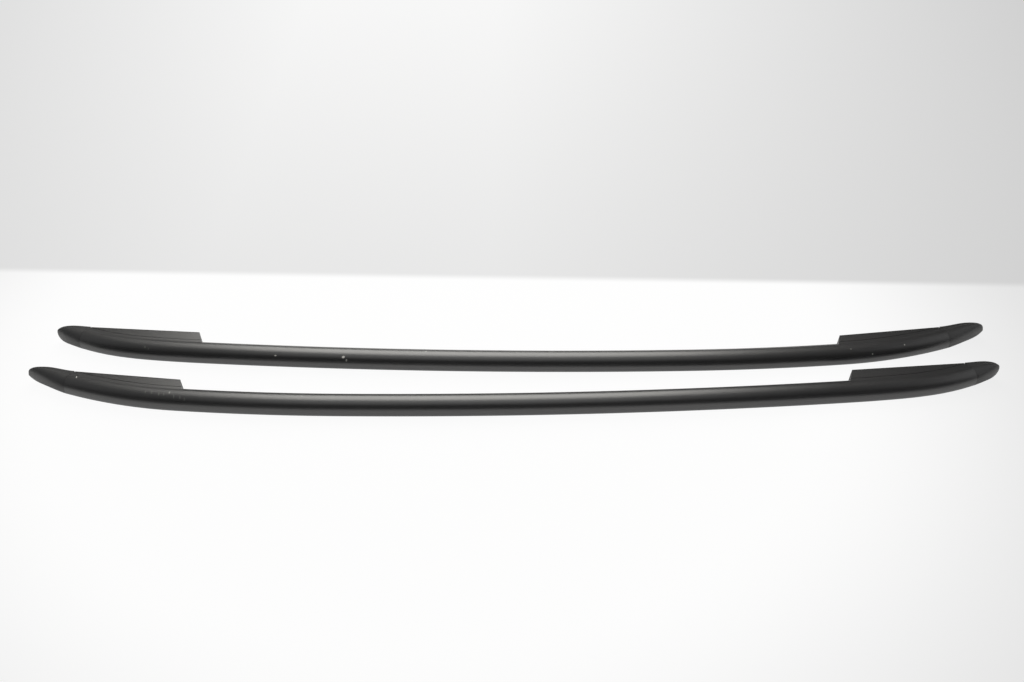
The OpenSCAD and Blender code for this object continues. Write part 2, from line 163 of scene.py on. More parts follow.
class RailCaps(bpy.types.PropertyGroup):
    """The moulded noses."""

    rear_cap_length: millimetres("Rear cap", "Length of the rear end cap", 58)
    front_cap_length: millimetres("Front cap", "Length of the front end cap", 84)
    lip_proud: millimetres("Lip", "How far the lip stands below the sawn base", 3.3)
    rear_lip_drop: millimetres("Rear drop", "How much further the rear lip comes down", 2.6)
    front_lip_drop: millimetres("Front drop", "How much further the front lip comes down", 6)
    rear_nose_lift: millimetres("Rear lift", "How far the rear lip curves up at the nose", 8.3)
    front_nose_lift: millimetres("Front lift", "How far the front lip curves up at the nose", 3)
    rear_tip_height: millimetres("Rear tip", "Height of the rear nose over its lip's line", 12.8)
    front_tip_height: millimetres("Front tip", "Height of the front nose over its lip's line", 1.7)
    seam_gap: millimetres("Seam", "Gap of the seam between cap and profile", 0.2)
    cap_edge: millimetres("Cap edge", "Radius of the caps' lower edges", 1.5)
    spigot_length: millimetres("Spigot", "Length of the spigot in the tube", 24)
    spigot_clearance: millimetres("Spigot clearance", "Clearance of the spigot in the tube", 0.25)
    cap_reach: share("Reach", "How near the rings come to the tip", 0.985)
    hollow_w: millimetres("Hollow", "Width of the hollow inside the caps", 24)
    hollow_roof: millimetres("Hollow roof", "What is left over the hollow", 7.5)
    rib_thick: millimetres("Ribs", "Thickness of the ribs across the hollow", 2)
    ring_gather: share("Gather", "How the rings gather at the tip", 1.6)
    back_pull: share("Back", "How long the cap's back keeps its direction", 0.27)
    drop_start: share("Drop start", "Where the lip starts to come down", 0)
    drop_end: share("Drop end", "Where the lip has come down", 0.64)
    lift_power: share("Lift", "How late the lip curves up at the nose", 2.5)
    nose_square: share("Square nose", "How long the cap keeps its width", 6.7)
    nose_round: share("Round nose", "How roundly the nose closes", 0.4)


class RailScrews(bpy.types.PropertyGroup):
    """The countersunk screws and where the blocks lie that they hold."""

    screw_d: millimetres("Shank", "Diameter of the shanks", 4)
    screw_head_d: millimetres("Head", "Diameter of the heads", 7.6)
    screw_length: millimetres("Length", "Length with the head", 11)
    screw_clearance: millimetres("Clearance", "Radial clearance in the holes", 0.05)
    screw_sunk: millimetres("Sunk", "How deep the heads sit below the surface", 0.4)
    screw_spacing: millimetres("Spacing", "Distance between the two screws of a block", 22)
    block_from_step: millimetres("Block", "From the step to the middle of a block", 58)
    block_height: millimetres("Block height", "Height of the blocks above the base", 7.5)


class RailFinish(bpy.types.PropertyGroup):
    """Colours of the finishes and of the stage."""

    coat: colour("Powder coat", "Satin black coat of the profile", "#1b1b1c")
    cap: colour("Caps", "Moulded plastic of the noses", "#1b1b1c")
    rubber: colour("Gaskets", "Rubber of the foot gaskets", "#161616")
    plug: colour("Plugs", "Moulded plastic of the plugs", "#1a1a1b")
    zinc: colour("Zinc", "Zinc plating of blocks and screws", "#a8abae")
    chip: colour("Chips", "Bare metal and filler where the coat is chipped", "#dcdad4")
    floor: colour("Floor", "Pale floor", "#e6e6e6")


SETTINGS = {
    "rail_line": RailLine,
    "rail_profile": RailProfile,
    "rail_feet": RailFeet,
    "rail_caps": RailCaps,
    "rail_screws": RailScrews,
    "rail_finish": RailFinish,
}


def settings(name):
    """One of the scene's property groups."""
    return getattr(bpy.context.scene, name)


# The rail's line. Each end is worked out pointing to +X, in the rail's own frame, with the roof
# at +Y. A turn is measured from the crown.
Bend = namedtuple("Bend", "radius start stop centre")


def outward(turn):
    """The direction away from the roof."""
    return Vector((math.sin(turn), -math.cos(turn), 0))


def along(turn):
    """The direction to the nose."""
    return Vector((math.cos(turn), math.sin(turn), 0))


def end_bends(end):
    """The bends from the crown to the seam of one end."""
    line = settings("rail_line")
    tube_r = settings("rail_profile").tube_d / 2
    half = line.rail_length / 2
    ahead = line.crown_ahead if end == "front" else -line.crown_ahead
    reach = half - getattr(line, end + "_bend_start") - ahead
    bends = [Bend(line.crown_radius, 0, math.asin(reach / line.crown_radius),
                  Vector((ahead, line.crown_radius - line.bow_height, tube_r)))]
    for name in ("shoulder", "knuckle", "nose"):
        radius = getattr(line, f"{end}_{name}_radius", None)
        if radius is None:
            continue
        last = bends[-1]
        centre = last.centre + (last.radius - radius) * outward(last.stop)
        seam = half - getattr(settings("rail_caps"), end + "_cap_length")
        stop = (math.asin((seam - centre.x) / radius) if name == "nose"
                else last.stop + getattr(line, f"{end}_{name}_turn"))
        bends.append(Bend(radius, last.stop, stop, centre))
    return bends


def axis_at(end, x):
    """The point on the tube's centre line at x, and the turn there."""
    for bend in end_bends(end):
        turn = math.asin((x - bend.centre.x) / bend.radius)
        if turn <= bend.stop + SAME_TURN:
            break
    return bend.centre + bend.radius * outward(turn), turn


def base_of(end):
    """The sawn base of a foot: its corner at the step, and its turn."""
    feet = settings("rail_feet")
    x = settings("rail_line").rail_length / 2 - getattr(feet, end + "_foot_length")
    point, turn = axis_at(end, x)
    corner = Vector((x, point.y + getattr(feet, end + "_foot_depth"), point.z))
    return corner, turn + getattr(feet, end + "_base_tilt")


def seam_of(end):
    """The cap's face at the seam: its centre and turn."""
    nose = end_bends(end)[-1]
    turn = nose.stop + settings("rail_caps").seam_gap / nose.radius
    return nose.centre + nose.radius * outward(turn), turn


def rail_origin(side):
    """Where the middle of a rail lies. The tube's crown touches the edge of the CAD node's box."""
    line = settings("rail_line")
    low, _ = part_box(side + "_rail_profile")
    stagger = line.rail_stagger / 2 if side == "left" else -line.rail_stagger / 2
    return Vector((stagger, low.y + line.bow_height + settings("rail_profile").tube_d / 2, 0))


# Mesh work
def end_to_rail(bm, end):
    """Turn an end that points to +X into its own end of the rail."""
    if end == "rear":
        bmesh.ops.scale(bm, verts=bm.verts, vec=(-1, 1, 1))


def to_mesh(bm, name):
    """Turn every face outwards and write the work into a mesh."""
    bmesh.ops.recalc_face_normals(bm, faces=bm.faces)
    mesh = bpy.data.meshes.new(name)
    bm.to_mesh(mesh)
    return mesh


def join(bm, part):
    """Put a finished part into a mesh."""
    mesh = to_mesh(part, "part")
    part.free()
    bm.from_mesh(mesh)
    bpy.data.meshes.remove(mesh)


def carve(bm, tool):
    """Take a solid out of a mesh."""
    body, cutter = (bpy.data.objects.new("carving", to_mesh(work, "carving"))
                    for work in (bm, tool))
    tool.free()
    for item in (body, cutter):
        bpy.context.scene.collection.objects.link(item)
    cut = body.modifiers.new("carving", "BOOLEAN")
    cut.operation = "DIFFERENCE"
    cut.solver = "EXACT"
    cut.object = cutter
    graph = bpy.context.evaluated_depsgraph_get()
    carved = bpy.data.meshes.new_from_object(body.evaluated_get(graph))
    bm.clear()
    bm.from_mesh(carved)
    meshes = [carved, body.data, cutter.data]
    for item in (body, cutter):
        bpy.data.objects.remove(item)
    for mesh in meshes:
        bpy.data.meshes.remove(mesh)


def finish_piece(bm, name, node, material, side, smooth_angle=30):
    """Put a rail's mesh in its place, close it up and let it stand for its CAD node."""
    if side == "right":
        bmesh.ops.scale(bm, verts=bm.verts, vec=(-1, 1, 1))
    bmesh.ops.translate(bm, verts=bm.verts, vec=rail_origin(side))
    bmesh.ops.remove_doubles(bm, verts=bm.verts, dist=WELD)
    for edge in bm.edges:
        edge.smooth = edge.calc_face_angle(math.pi) < math.radians(smooth_angle)
    for face in bm.faces:
        face.smooth = True
    piece = bpy.data.objects.new(name, to_mesh(bm, name))
    bm.free()
    bpy.context.scene.collection.objects.link(piece)
    piece.data.materials.append(material)
    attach(piece, "root")
    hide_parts(node)
    even = piece.modifiers.new("even_shading", "WEIGHTED_NORMAL")
    even.keep_sharp = True


def station_matrix(point, turn):
    """Local X goes away from the roof, local Y up and local Z to the crown."""
    out = outward(turn)
    axes = Matrix((out, UP, out.cross(UP))).transposed()
    return Matrix.Translation(point) @ axes.to_4x4()


def spin_along(bm, geom, bends):
    """Spin geometry along a row of bends, each an angle about a centre, and return its last
    copy."""
    pitch = settings("rail_profile").ring_pitch
    for bend in bends:
        steps = max(2, math.ceil(abs(bend.stop - bend.start) * bend.radius / pitch))
        geom = bmesh.ops.spin(bm, geom=geom, cent=bend.centre, axis=UP,
                              angle=bend.stop - bend.start, steps=steps)["geom_last"]
    return geom


def screw_holes(points):
    """A tool for countersunk holes from below, at the points where the heads' faces lie."""
    screws = settings("rail_screws")
    head = screws.screw_head_d / 2 + screws.screw_clearance
    shank = screws.screw_d / 2 + screws.screw_clearance
    cone = (screws.screw_head_d - screws.screw_d) / 2
    below, top = -TOOL_SPARE, screws.screw_length + HOLE_SPARE
    outline = [(0, below), (head, below), (head, 0), (shank, cone), (shank, top), (0, top)]
    tool = bmesh.new()
    for point in points:
        verts = [tool.verts.new(point + Vector((r, 0, z))) for r, z in outline]
        edges = [tool.edges.new(pair) for pair in zip(verts, verts[1:])]
        bmesh.ops.spin(tool, geom=verts + edges, cent=point, axis=UP, angle=math.tau,
                       steps=SCREW_SIDES, use_merge=True)
    bmesh.ops.remove_doubles(tool, verts=tool.verts, dist=FINE_WELD)
    return tool


def cap_screw_hole(end):
    """The hole through the tube's underside into a cap's spigot."""
    nose = end_bends(end)[-1]
    turn = nose.stop - settings("rail_caps").spigot_length / 2 / nose.radius
    place = nose.centre + nose.radius * outward(turn)
    place.z = settings("rail_screws").screw_sunk
    return screw_holes([place])


def add_tube(bm):
    """The whole bent tube with its bore, from seam to seam."""
    profile = settings("rail_profile")
    rear = [Bend(b.radius, -b.stop, -b.start, Vector((-b.centre.x, b.centre.y, b.centre.z)))
            for b in reversed(end_bends("rear"))]
    start = rear[0].centre + rear[0].radius * outward(rear[0].start)
    firsts, lasts = [], []
    for radius in (profile.tube_d / 2, profile.tube_d / 2 - profile.tube_wall):
        ring = bmesh.ops.create_circle(bm, segments=TUBE_SIDES, radius=radius,
                                       matrix=station_matrix(start, rear[0].start))["verts"]
        edges = list({edge for vert in ring for edge in vert.link_edges})
        last = spin_along(bm, ring + edges, rear + end_bends("front"))
        firsts.append(edges)
        lasts.append([item for item in last if isinstance(item, bmesh.types.BMEdge)])
    for outer, bore in (firsts, lasts):
        bmesh.ops.bridge_loops(bm, edges=outer + bore)
        bmesh.ops.bevel(bm, geom=outer, offset=profile.seam_edge, segments=2, profile=0.5,
                        affect="EDGES", material=-1)
    for end in ENDS:
        tool = cap_screw_hole(end)
        end_to_rail(tool, end)
        carve(bm, tool)


def web_outline():
    """The section of one web wall, as distances below the tube's centre line and from its middle.
    It reaches well past the base, where it is sawn off."""
    p = settings("rail_profile")
    tube_r, half = p.tube_d / 2, p.web_w / 2
    crease = math.sqrt(tube_r ** 2 - half ** 2)
    root = math.asin(crease / tube_r) - ROOT_TURN
    reach = 4 * p.tube_d
    inner = half - p.web_wall
    root_depth = (crease + math.sqrt((tube_r - p.tube_wall) ** 2 - inner ** 2)) / 2
    return [
        (tube_r * math.sin(root), tube_r * math.cos(root)), (crease, half),
        (p.groove_offset - p.groove_w / 2, half),
        (p.groove_offset - p.groove_w / 4, half - p.groove_deep),
        (p.groove_offset + p.groove_w / 4, half - p.groove_deep),
        (p.groove_offset + p.groove_w / 2, half), (reach, half), (reach, inner),
        (root_depth, inner)]


def cut_plane(bm, point, normal):
    """Saw off what lies on the normal's side of a plane and close the cut."""
    cut = bmesh.ops.bisect_plane(bm, geom=bm.verts[:] + bm.edges[:] + bm.faces[:], dist=FINE_WELD,
                                 plane_co=point, plane_no=normal, clear_outer=True)["geom_cut"]
    edges = [item for item in cut if isinstance(item, bmesh.types.BMEdge)]
    bmesh.ops.edgeloop_fill(bm, edges=edges)


def block_screws(end):
    """Where the heads of the two block screws of a foot lie."""
    p = settings("rail_profile")
    screws = settings("rail_screws")
    corner, base_turn = base_of(end)
    middle = (corner + along(base_turn) * screws.block_from_step
              + outward(base_turn) * screws.block_height / 2)
    middle.z = (p.tube_d - p.web_w) / 2 + screws.screw_sunk
    reach = along(base_turn) * screws.screw_spacing / 2
    return [middle - reach, middle + reach]


def add_web(bm, end):
    """The two walls of the web under one end, sawn along the base and milled off at the step. The
    lower one has the holes of the block screws."""
    p = settings("rail_profile")
    feet = settings("rail_feet")
    corner, base_turn = base_of(end)
    start = corner.x - getattr(feet, end + "_foot_depth") * math.tan(feet.step_lean) - WEB_SPARE
    bends = []
    for bend in end_bends(end):
        first = math.asin(max(-1, min(1, (start - bend.centre.x) / bend.radius)))
        if first < bend.stop:
            bends.append(bend._replace(start=max(first, bend.start)))
    point = bends[0].centre + bends[0].radius * outward(bends[0].start)
    for flip in (1, -1):
        web = bmesh.new()
        verts = [web.verts.new((-down, flip * wide, 0)) for down, wide in web_outline()]
        web.faces.new(verts)
        bmesh.ops.bevel(web, geom=[verts[1]], offset=p.crease_fillet, segments=4, profile=0.5,
                        affect="VERTICES", material=-1)
        bmesh.ops.transform(web, verts=web.verts,
                            matrix=station_matrix(point, bends[0].start))
        spin_along(web, web.verts[:] + web.edges[:] + web.faces[:], bends)
        bmesh.ops.recalc_face_normals(web, faces=web.faces)
        cut_plane(web, corner, -outward(base_turn))
        cut_plane(web, corner, -along(base_turn - feet.step_lean))
        if flip == -1:
            carve(web, screw_holes(block_screws(end)))
        end_to_rail(web, end)
        join(bm, web)


def bezier(points, t):
    """The point at share t of a cubic curve."""
    a, b, c, d = points
    return (1 - t) ** 3 * a + 3 * t * (1 - t) ** 2 * b + 3 * t * t * (1 - t) * c + t ** 3 * d


def smooth_step(t):
    """Rises softly from 0 to 1 as t does."""
    u = max(0, min(1, t))
    return u * u * (3 - 2 * u)


def cap_stations(end, rings=CAP_RINGS):
    """The cap's stations from the seam to the nose: the lip's point, the height over it, the turn
    of the section and the share of its full width."""
    caps = settings("rail_caps")
    tube_r = settings("rail_profile").tube_d / 2
    corner, base = base_of(end)
    lip = corner - caps.lip_proud * outward(base)
    centre, start = seam_of(end)
    half = settings("rail_line").rail_length / 2
    tip = lip + along(base) * (half - lip.x) / math.cos(base)

    def over_line(point, turn):
        return (point - lip).dot(outward(base)) / math.cos(turn - base)

    foot = centre - over_line(centre, start) * outward(start)
    run = (tip - foot).length
    back = centre + tube_r * outward(start)
    lift = getattr(caps, end + "_nose_lift")
    curve = [back, back + caps.back_pull * run * along(start),
             tip + getattr(caps, end + "_tip_height") * outward(base), tip + lift * outward(base)]
    for i in range(rings + 1):
        t = caps.cap_reach * (1 - (1 - i / rings) ** caps.ring_gather)
        turn = start + (base - start) * t
        top = bezier(curve, t)
        height = over_line(top, turn)
        line = top - height * outward(turn)
        gone = (line - foot).length / run
        drop = (getattr(caps, end + "_lip_drop")
                * smooth_step((gone - caps.drop_start) / (caps.drop_end - caps.drop_start))
                - lift * gone ** caps.lift_power)
        width = (1 - gone ** caps.nose_square) ** caps.nose_round
        yield line - drop * outward(turn), height + drop, turn, width


def cap_section(bm, lip_below):
    """The cap's section at the seam: a round back, straight sides and a flat lip."""
    p = settings("rail_profile")
    edge = settings("rail_caps").cap_edge
    tube_r = p.tube_d / 2
    side = min(math.sqrt(tube_r ** 2 - (p.web_w / 2) ** 2), lip_below - 2 * edge)
    half = math.sqrt(tube_r ** 2 - side ** 2)
    sweep = math.pi + 2 * math.asin(side / tube_r)
    first = bm.verts.new((-side, half, 0))
    bmesh.ops.spin(bm, geom=[first], cent=(0, 0, 0), axis=(0, 0, 1), angle=-sweep,
                   steps=CAP_BACK_STEPS)
    arc = list(bm.verts)
    corners = [bm.verts.new((-lip_below, -half, 0)), bm.verts.new((-lip_below, half, 0))]
    bm.edges.new((arc[-1], corners[0]))
    bm.edges.new(corners)
    bm.edges.new((corners[1], arc[0]))
    face = bmesh.ops.contextual_create(bm, geom=bm.edges[:])["faces"]
    bmesh.ops.bevel(bm, geom=corners, offset=edge, segments=4, profile=0.5, affect="VERTICES",
                    material=-1)
    return face


def cap_pockets(end):
    """A tool for the rooms in a cap: a prism open at the lip, parted by the ribs."""
    caps = settings("rail_caps")
    stations = list(cap_stations(end, POCKET_RINGS))[POCKET_FIRST:POCKET_LAST + 1]
    tops = [foot + (height - caps.hollow_roof) * outward(turn)
            for foot, height, turn, _ in stations]
    mouth = [foot - TOOL_SPARE * outward(turn) for foot, _, turn, _ in (stations[-1], stations[0])]
    room = (tops[-1].x - tops[0].x) / ROOMS
    tool = bmesh.new()
    for i in range(ROOMS):
        pocket = bmesh.new()
        face = pocket.faces.new([pocket.verts.new(point - UP * caps.hollow_w / 2)
                                 for point in tops + mouth])
        lid = bmesh.ops.extrude_face_region(pocket, geom=[face])["geom"]
        bmesh.ops.translate(pocket, verts=[v for v in lid if isinstance(v, bmesh.types.BMVert)],
                            vec=UP * caps.hollow_w)
        for wall, way, outer in ((i, -1, i == 0), (i + 1, 1, i == ROOMS - 1)):
            if not outer:
                x = tops[0].x + wall * room - way * caps.rib_thick / 2
                cut_plane(pocket, Vector((x, 0, 0)), Vector((way, 0, 0)))
        join(tool, pocket)
    return tool


def add_cap(bm, end):
    """The nose is lofted through its stations and hollowed from the lip, and its spigot is spun
    back into the tube."""
    p = settings("rail_profile")
    caps = settings("rail_caps")
    stations = list(cap_stations(end))
    tube_r = p.tube_d / 2
    lip_below = stations[0][1] - tube_r
    section = bmesh.new()
    cap_section(section, lip_below)
    outline = bpy.data.meshes.new("section")
    section.to_mesh(outline)
    section.free()
    rings = []
    for foot, height, turn, width in stations:
        before = set(bm.verts)
        bm.from_mesh(outline)
        ring = [vert for vert in bm.verts if vert not in before]
        scale = height / (tube_r + lip_below)
        point = foot + lip_below * scale * outward(turn)
        bmesh.ops.transform(bm, verts=ring, matrix=station_matrix(point, turn)
                            @ Matrix.Diagonal((scale, width, 1, 1)))
        face = ring[0].link_faces[0]
        rings.append(list(face.edges))
        if len(rings) not in (1, len(stations)):
            bmesh.ops.delete(bm, geom=[face], context="FACES_ONLY")
    bpy.data.meshes.remove(outline)
    for near, far in zip(rings, rings[1:]):
        bmesh.ops.bridge_loops(bm, edges=near + far)
    bmesh.ops.bevel(bm, geom=rings[0], offset=p.seam_edge, segments=2, profile=0.5,
                    affect="EDGES", material=-1)
    carve(bm, cap_pockets(end))
    spigot = bmesh.new()
    nose = end_bends(end)[-1]
    centre, turn = seam_of(end)
    back_turn = turn - caps.spigot_length / nose.radius
    ring = bmesh.ops.create_circle(
        spigot, segments=SPIGOT_SIDES, cap_ends=True,
        radius=tube_r - p.tube_wall - caps.spigot_clearance,
        matrix=station_matrix(nose.centre + nose.radius * outward(back_turn), back_turn))["verts"]
    faces = list({face for vert in ring for face in vert.link_faces})
    edges = list({edge for vert in ring for edge in vert.link_edges})
    spin_along(spigot, ring + edges + faces,
               [nose._replace(start=back_turn, stop=turn + SPIGOT_BITE)])
    carve(spigot, cap_screw_hole(end))
    join(bm, spigot)
    end_to_rail(bm, end)


# Finishes
def add(tree, kind, inputs=None, **settings_of_node):
    """Add a node with its own settings, and set or link its inputs."""
    node = tree.nodes.new("ShaderNode" + kind)
    for key, value in settings_of_node.items():
        setattr(node, key, value)
    for key, value in (inputs or {}).items():
        if isinstance(value, bpy.types.NodeSocket):
            tree.links.new(value, node.inputs[key])
        else:
            node.inputs[key].default_value = value
    return node


def new_material(name):
    """A material with its node tree, its Principled shader and its coordinates. One that is there
    already comes with None for all three."""
    material = bpy.data.materials.get(name)
    if material:
        return material, None, None, None
    material = bpy.data.materials.new(name)
    material.use_nodes = True
    tree = material.node_tree
    shader = tree.nodes["Principled BSDF"]
    place = add(tree, "TexCoord").outputs["Object"]
    return material, tree, shader, place


# Wear on the coat, in millimetres: place, half length, half width, turn in degrees and how bare it
# is. The depth is how far a mark reaches into the coat's curve.
MARKS = (
    (-316, 19.4, 34.2, 3.2, 2.1, 10, 0.95), (-310.5, 15.5, 30.2, 1.7, 1.3, 40, 0.6),
    (-439.5, 25.2, 33.4, 2.3, 1.1, 0, 0.8), (-167.3, 28.2, 38.8, 1.4, 0.8, 20, 0.7),
    (603.4, 30.8, 37.7, 1.2, 1, 0, 0.7), (643.3, 25.7, 29.8, 1.1, 1, 0, 0.8),
    (705.5, 43.2, 36, 1, 1.3, 0, 0.8), (-680.6, 47.1, 35.6, 1.8, 2.4, 35, 0.12),
    (-674, 44, 35, 1.2, 2, 20, 0.1), (-776.2, -33.4, 38.8, 0.9, 3, 8, 0.95),
    (-645, -70.5, 38.6, 1.6, 3, 8, 0.08), (-634, -71.5, 38.7, 2, 4, 8, 0.07),
    (-621, -75, 38.6, 1.6, 4, 6, 0.1), (-612, -76, 38.6, 1.4, 3.4, 8, 0.09),
    (-602.8, -72.8, 38.8, 1.4, 3.4, 4, 0.3), (-594, -80, 38, 1.3, 4, 6, 0.12),
    (-583, -82, 37, 1.5, 3.4, 6, 0.1), (-575, -85, 35, 1.4, 3, 4, 0.08),
    (-373, -82.6, 38.8, 3, 1, -4, 0.2),
)
MARK_DEPTH = 8
RAGGED = 2 * MM
# Glossy polymers bend light alike
POLYMER_IOR, FULL_SPECULAR = 1.52, 1.0


def wear_mask(tree, place):
    """How far the coat is worn off, with ragged edges."""
    ragged = add(tree, "TexNoise", {"Vector": place, "Scale": 900, "Detail": 2})
    shift = add(tree, "VectorMath", {0: ragged.outputs["Color"], 1: (0.5, 0.5, 0.5)},
                operation="SUBTRACT")
    spot = add(tree, "VectorMath", {0: shift.outputs["Vector"], 1: (RAGGED,) * 3, 2: place},
               operation="MULTIPLY_ADD")
    mask = 0.0
    for x, y, z, long, wide, turn, bare in MARKS:
        local = add(tree, "Mapping", {
            "Vector": spot.outputs["Vector"], "Location": (x * MM, y * MM, z * MM),
            "Rotation": (0, 0, math.radians(turn)),
            "Scale": (long * MM, wide * MM, MARK_DEPTH * MM)}, vector_type="TEXTURE")
        away = add(tree, "VectorMath", {0: local.outputs["Vector"]}, operation="LENGTH")
        hit = add(tree, "MapRange", {"Value": away.outputs["Value"], "From Min": 0.6,
                                     "From Max": 1.0, "To Min": bare, "To Max": 0.0})
        mask = add(tree, "Math", {0: mask, 1: hit.outputs["Result"]},
                   operation="MAXIMUM").outputs[0]
    return mask


def powder_coat():
    """Satin black polyester powder coat over extruded aluminium, sprayed and stoved: a smooth even
    black with a broad highlight, a faint orange peel and a few chips."""
    material, tree, shader, place = new_material("satin_black_powder_coat")
    if tree is None:
        return material
    tone = add(tree, "TexNoise", {"Vector": place, "Scale": 9, "Detail": 3})
    uneven = add(tree, "MapRange", {"Value": tone.outputs["Fac"], "To Min": 0.36, "To Max": 0.42})
    peel = add(tree, "TexNoise", {"Vector": place, "Scale": 420, "Detail": 3})
    bump = add(tree, "Bump", {"Height": peel.outputs["Fac"], "Strength": 0.5,
                              "Distance": 0.2 * MM})
    grain = add(tree, "MapRange", {"Value": peel.outputs["Fac"], "From Min": 0.3, "From Max": 0.7,
                                   "To Min": 0.7, "To Max": 1.3})
    base = add(tree, "VectorMath", {0: tuple(settings("rail_finish").coat),
                                    "Scale": grain.outputs["Result"]}, operation="SCALE")
    chip = tuple(settings("rail_finish").chip) + (1,)
    paint = add(tree, "Mix", {"Factor": wear_mask(tree, place), "A": base.outputs["Vector"],
                              "B": chip}, data_type="RGBA")
    for name, socket in (("Base Color", paint.outputs["Result"]),
                         ("Roughness", uneven.outputs["Result"]), ("Normal", bump.outputs[0])):
        tree.links.new(socket, shader.inputs[name])
    shader.inputs["IOR"].default_value = POLYMER_IOR
    shader.inputs["Specular IOR Level"].default_value = FULL_SPECULAR
    shader.inputs["Coat Weight"].default_value = 0.5
    shader.inputs["Coat Roughness"].default_value = 0.3
    return material


def moulded_plastic(name, base, rough, grain):
    """Injection-moulded plastic with a fine spark-eroded grain, in millimetres, which breaks up
    the highlight."""
    material, tree, shader, place = new_material(name)
    if tree is None:
        return material
    tone = add(tree, "TexNoise", {"Vector": place, "Scale": 25, "Detail": 3})
    uneven = add(tree, "MapRange", {"Value": tone.outputs["Fac"], "To Min": rough - 0.04,
                                    "To Max": rough + 0.04})
    cells = add(tree, "TexVoronoi", {"Vector": place, "Scale": 1 / (grain * MM)})
    bump = add(tree, "Bump", {"Height": cells.outputs["Distance"], "Strength": 0.3,
                              "Distance": 0.06 * MM})
    tree.links.new(uneven.outputs["Result"], shader.inputs["Roughness"])
    tree.links.new(bump.outputs[0], shader.inputs["Normal"])
    shader.inputs["Base Color"].default_value = tuple(base) + (1,)
    shader.inputs["IOR"].default_value = POLYMER_IOR
    shader.inputs["Specular IOR Level"].default_value = FULL_SPECULAR
    return material


def cap_plastic():
    """Grained black ASA, which stays black in the sun."""
    return moulded_plastic("grained_black_asa", settings("rail_finish").cap, 0.46, 1.0)


def plug_plastic():
    """Grained black nylon."""
    return moulded_plastic("moulded_black_nylon", settings("rail_finish").plug, 0.5, 1.2)


def gasket_rubber():
    """Moulded EPDM rubber: dull, nearly black and slightly dusty."""
    material, tree, shader, place = new_material("moulded_epdm_rubber")
    if tree is None:
        return material
    dust = add(tree, "TexNoise", {"Vector": place, "Scale": 120, "Detail": 5})
    dull = add(tree, "MapRange", {"Value": dust.outputs["Fac"], "To Min": 0.72, "To Max": 0.88})
    bump = add(tree, "Bump", {"Height": dust.outputs["Fac"], "Strength": 0.2,
                              "Distance": 0.1 * MM})
    tree.links.new(dull.outputs["Result"], shader.inputs["Roughness"])
    tree.links.new(bump.outputs[0], shader.inputs["Normal"])
    shader.inputs["Base Color"].default_value = tuple(settings("rail_finish").rubber) + (1,)
    shader.inputs["IOR"].default_value = POLYMER_IOR
    return material


def zinc_plate():
    """Bright zinc-plated steel, barrel plated: a cool grey metal with a cloudy sheen."""
    material, tree, shader, place = new_material("zinc_plated_steel")
    if tree is None:
        return material
    cloud = add(tree, "TexNoise", {"Vector": place, "Scale": 180, "Detail": 4})
    sheen = add(tree, "MapRange", {"Value": cloud.outputs["Fac"], "To Min": 0.28, "To Max": 0.5})
    tree.links.new(sheen.outputs["Result"], shader.inputs["Roughness"])
    shader.inputs["Base Color"].default_value = tuple(settings("rail_finish").zinc) + (1,)
    shader.inputs["Metallic"].default_value = 1.0
    return material


# Operators
class RAILS_OT_profiles(bpy.types.Operator):
    """Bend the two aluminium profiles, tube and webs"""

    bl_idname = "rails.profiles"
    bl_label = "Rail profiles"

    def execute(self, context):
        for side in SIDES:
            bm = bmesh.new()
            add_tube(bm)
            for end in ENDS:
                add_web(bm, end)
            finish_piece(bm, side + "_rail", side + "_rail_profile",
                         powder_coat(), side)
        return {"FINISHED"}


class RAILS_OT_caps(bpy.types.Operator):
    """Mould the four noses"""

    bl_idname = "rails.caps"
    bl_label = "End caps"

    def execute(self, context):
        for side in SIDES:
            for end in ENDS:
                bm = bmesh.new()
                add_cap(bm, end)
                finish_piece(bm, f"{side}_{end}_nose", f"{side}_{end}_cap",
                             cap_plastic(), side, smooth_angle=40)
        return {"FINISHED"}


class RAILS_OT_fittings(bpy.types.Operator):
    """Finish the blocks, screws, plugs and gaskets, whose CAD shapes stay"""

    bl_idname = "rails.fittings"
    bl_label = "Fittings"

    def execute(self, context):
        finishes = {
            "_gasket": gasket_rubber(),
            "_block": zinc_plate(),
            "_screws": zinc_plate(),
            "_plug": plug_plastic(),
            "_cap": cap_plastic(),
            "_profile": powder_coat(),
        }
        for name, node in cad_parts.items():
            for ending, material in finishes.items():
                if name.endswith(ending):
                    node.data.materials.clear()
                    node.data.materials.append(material)
        return {"FINISHED"}


class RAILS_OT_stage(bpy.types.Operator):
    """Lay the pale floor, hang the lamps and set up the camera"""

    bl_idname = "rails.stage"
    bl_label = "Stage"

    def execute(self, context):
        add_floor()
        add_lamps()
        add_surround()
        add_camera()
        return {"FINISHED"}


# Where the backdrop's painted shade begins on the flat floor: the line's slope and its distance
# from the middle, in metres, and how softly the tone steps there
LINE_SLOPE, LINE_AWAY, LINE_SOFT = 0.0304, 0.291, 0.012
# A painted pool of light: the floor is painted brightest round a point, in an oval that fades from
# one radius to the next
PAINTED_POOL, PAINTED_POOL_SHIFT, PAINTED_POOL_FADE = (1, 1.1, 1), (0.15, -0.13, 0), (0.7, 1.3)
PAINTED_POOL_TONES = (1.0, 0.76)
# Painted light and shade on the backdrop: its tone rises away from the line and falls to both sides
# of a point
BACKDROP_LIGHT_END, BACKDROP_LIGHT_TONES = 2.1, (0.8, 0.98)
BACKDROP_SHADE_SHIFT, BACKDROP_SHADE_FADE, BACKDROP_SHADE_TONES = (0.35, 0, 0), (0.3, 2.2), (1.0, 0.66)
# How much of the glow the camera and glossy surfaces see, and the surround's strength for the
# rails and for the camera
CAMERA_SHARE, GLOSSY_SHARE = 0.95, 0.38
SURROUND_DIM, SURROUND_PALE = 0.05, 0.6
FLOOR_RADIUS = 9

WHITE, WARM = (1, 1, 1), (1.0, 0.982, 0.94)
